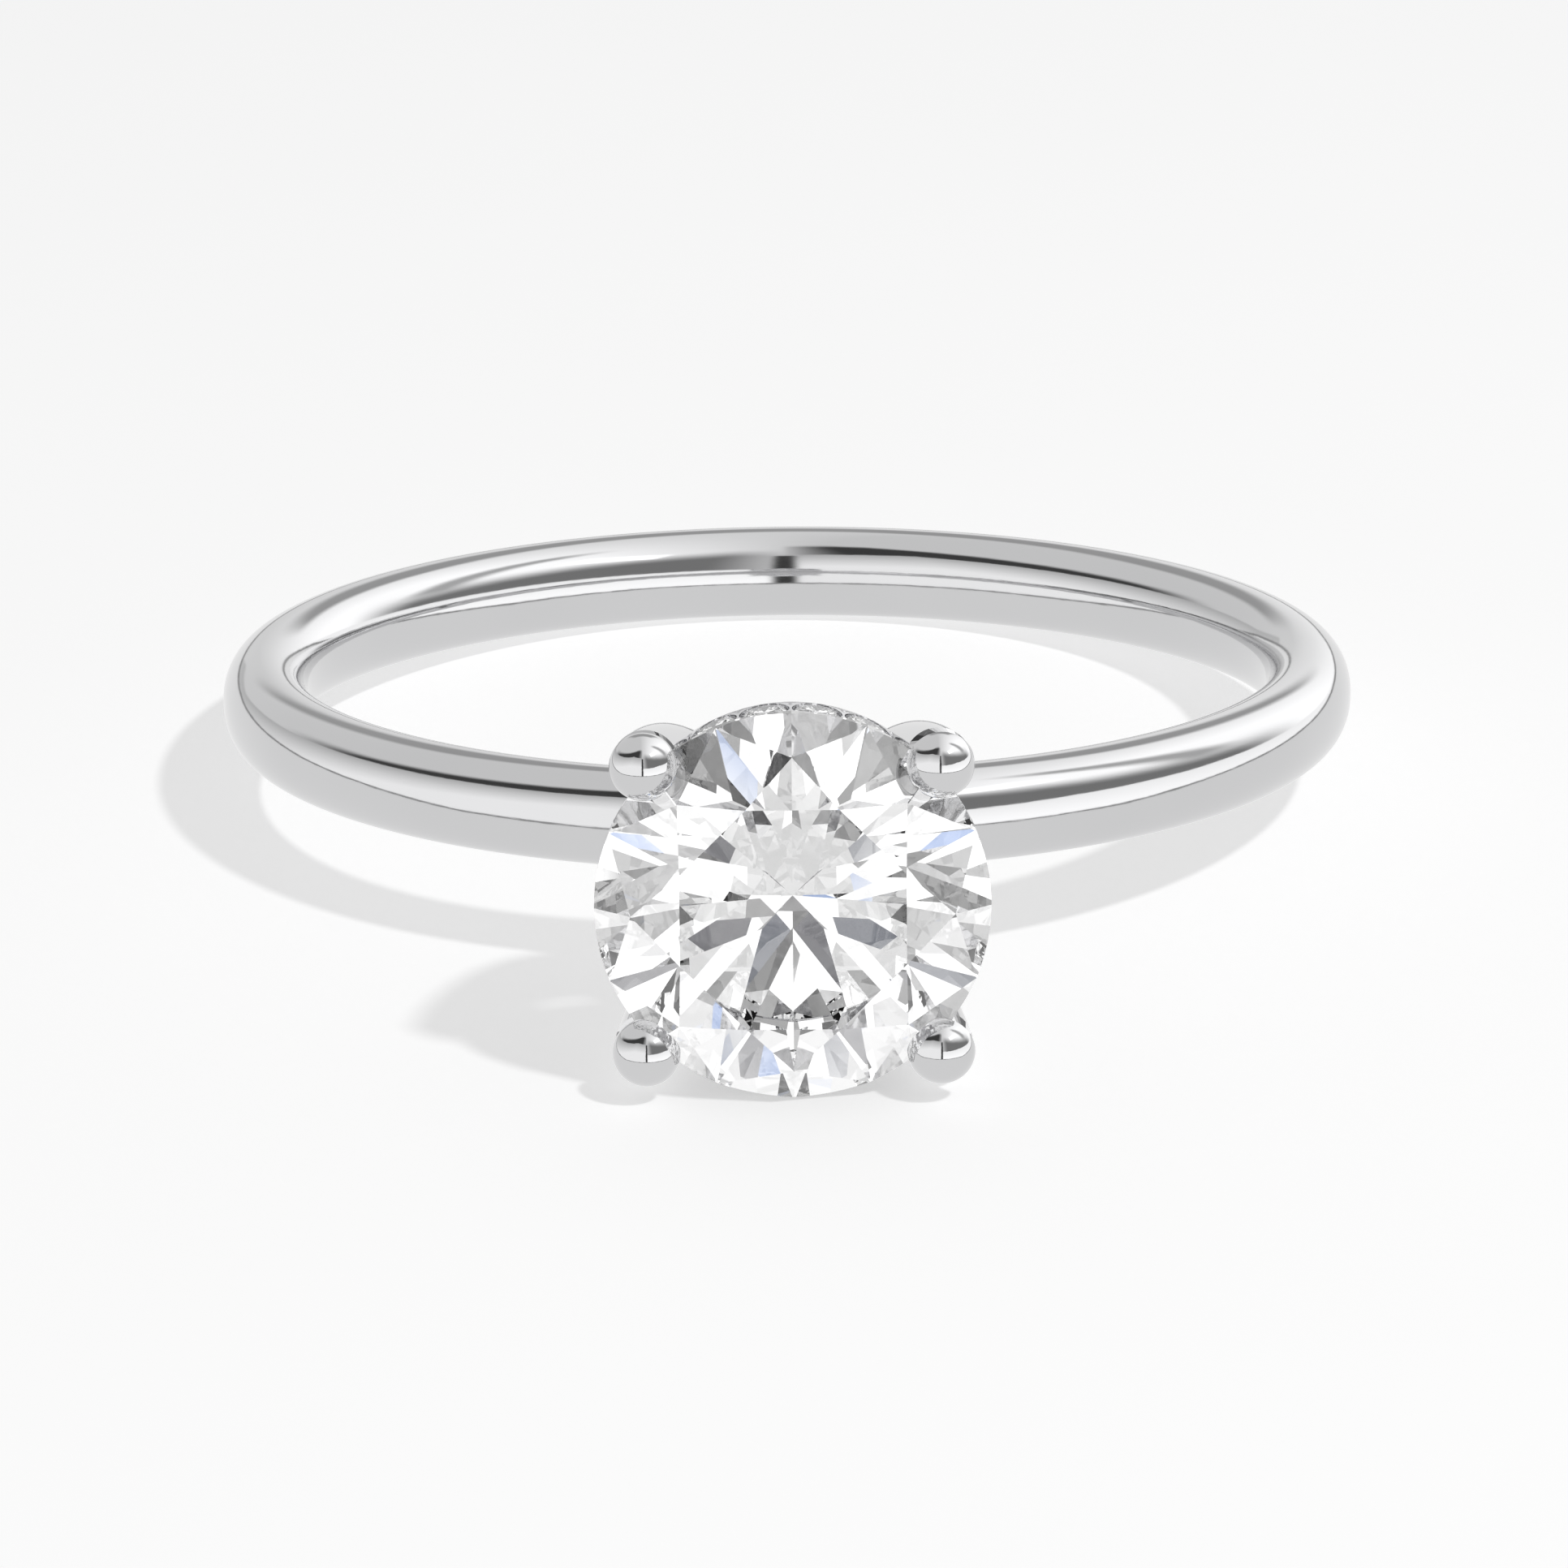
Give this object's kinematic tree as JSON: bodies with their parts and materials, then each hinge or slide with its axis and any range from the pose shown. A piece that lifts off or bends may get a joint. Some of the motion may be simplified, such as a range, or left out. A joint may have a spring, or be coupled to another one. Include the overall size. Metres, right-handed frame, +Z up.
{
  "type": "engagement ring",
  "caption": "Solitaire ring with a round brilliant in four ball-ended prongs, a hidden halo of small stones below it and a plain rounded band.",
  "frame": {"origin": "on the surface the ring lies on, under the middle of its bounding box", "axes": "+Z up from that surface; -Y is the side the centre stone faces, so +Y runs from the stone to the far end of the band; +X is to the right when looking at the stone"},
  "size_m": [0.0204, 0.026, 0.0065],
  "materials": {
    "band_gold": "rhodium-plated white gold, mirror polished",
    "head_gold": "rhodium-plated white gold, polished",
    "prong_gold": "rhodium-plated white gold, mirror polished",
    "centre_diamond": "colourless diamond, polished facets",
    "halo_diamond": "colourless diamond, polished facets"
  },
  "bodies": {
    "root": {"shank": "band_gold", "base_drum": "head_gold", "gallery_rail": "head_gold", "halo_collar": "head_gold", "prong_right_upper": "prong_gold", "prong_left_upper": "prong_gold", "prong_left_lower": "prong_gold", "prong_right_lower": "prong_gold", "centre_stone": "centre_diamond", "halo_stone_01": "halo_diamond", "halo_stone_02": "halo_diamond", "halo_stone_03": "halo_diamond", "halo_stone_04": "halo_diamond", "halo_stone_05": "halo_diamond", "halo_stone_06": "halo_diamond", "halo_stone_07": "halo_diamond", "halo_stone_08": "halo_diamond", "halo_stone_09": "halo_diamond", "halo_stone_10": "halo_diamond", "halo_stone_11": "halo_diamond", "halo_stone_12": "halo_diamond", "halo_stone_13": "halo_diamond", "halo_stone_14": "halo_diamond", "halo_stone_15": "halo_diamond", "halo_stone_16": "halo_diamond"}
  },
  "joints": []
}
